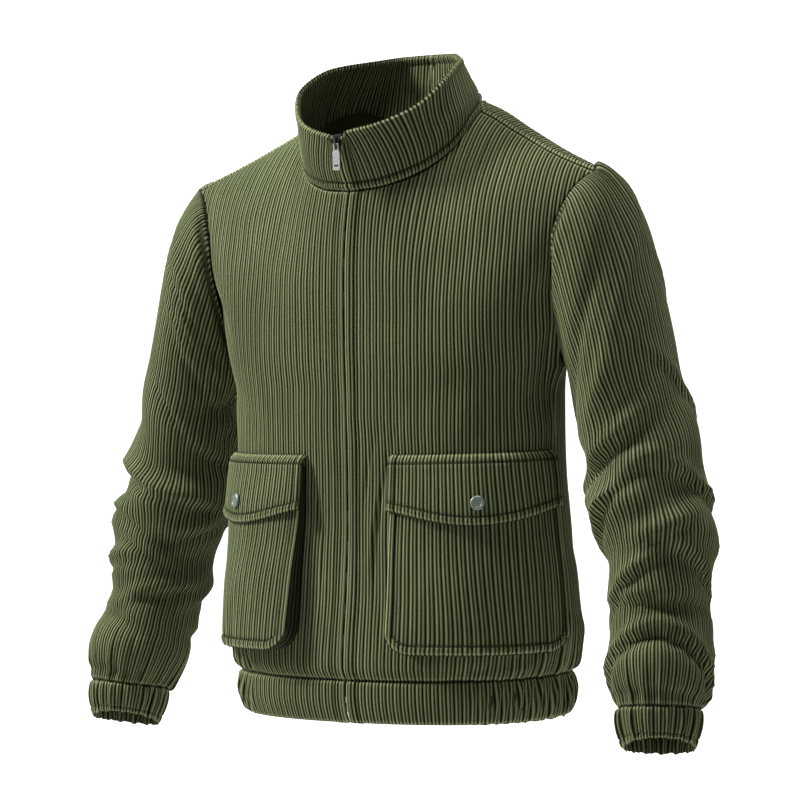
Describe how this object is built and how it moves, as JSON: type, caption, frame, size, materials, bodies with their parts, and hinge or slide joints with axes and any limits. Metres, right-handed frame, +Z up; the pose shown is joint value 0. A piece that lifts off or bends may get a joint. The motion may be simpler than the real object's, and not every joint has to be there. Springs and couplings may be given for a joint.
{
  "type": "corduroy jacket",
  "caption": "Waist-length corduroy jacket in its worn shape, hollow: stand collar, front zip, bellows flap pockets with snaps, gathered cuffs and hem band.",
  "frame": {"origin": "midway between the wearer's neck points, where the jacket hangs from the shoulders", "axes": "+Z up, -Y the way the front faces, +X to the wearer's left"},
  "size_m": [0.7632, 0.2463, 0.7326],
  "materials": {
    "corduroy": "double-wale cotton corduroy, matt",
    "tape": "woven zip tape",
    "dark_metal": "gunmetal plating",
    "silver_metal": "polished nickel",
    "snap_enamel": "grey-green enamel, half gloss"
  },
  "bodies": {
    "jacket": {"collar": "corduroy", "sleeve_right": "corduroy", "cuff_right": "corduroy", "sleeve_left": "corduroy", "cuff_left": "corduroy", "front_right": "corduroy", "front_left": "corduroy", "back": "corduroy", "hem_band": "corduroy", "pocket_right": "corduroy", "flap_right": "corduroy", "snap_right": "snap_enamel", "pocket_left": "corduroy", "flap_left": "corduroy", "snap_left": "snap_enamel", "zip_tape_right": "tape", "zip_tape_left": "tape", "zip_chain": "dark_metal", "zip_slider": "dark_metal"},
    "zip_pull": {"zip_pull": "silver_metal"}
  },
  "joints": [
    {"name": "zip_pull_swing", "type": "hinge", "parent": "jacket", "child": "zip_pull", "pos_m": [0, -0.10265, -0.03291], "axis": [-1, 0, 0], "range_deg": [-10, 130]}
  ]
}
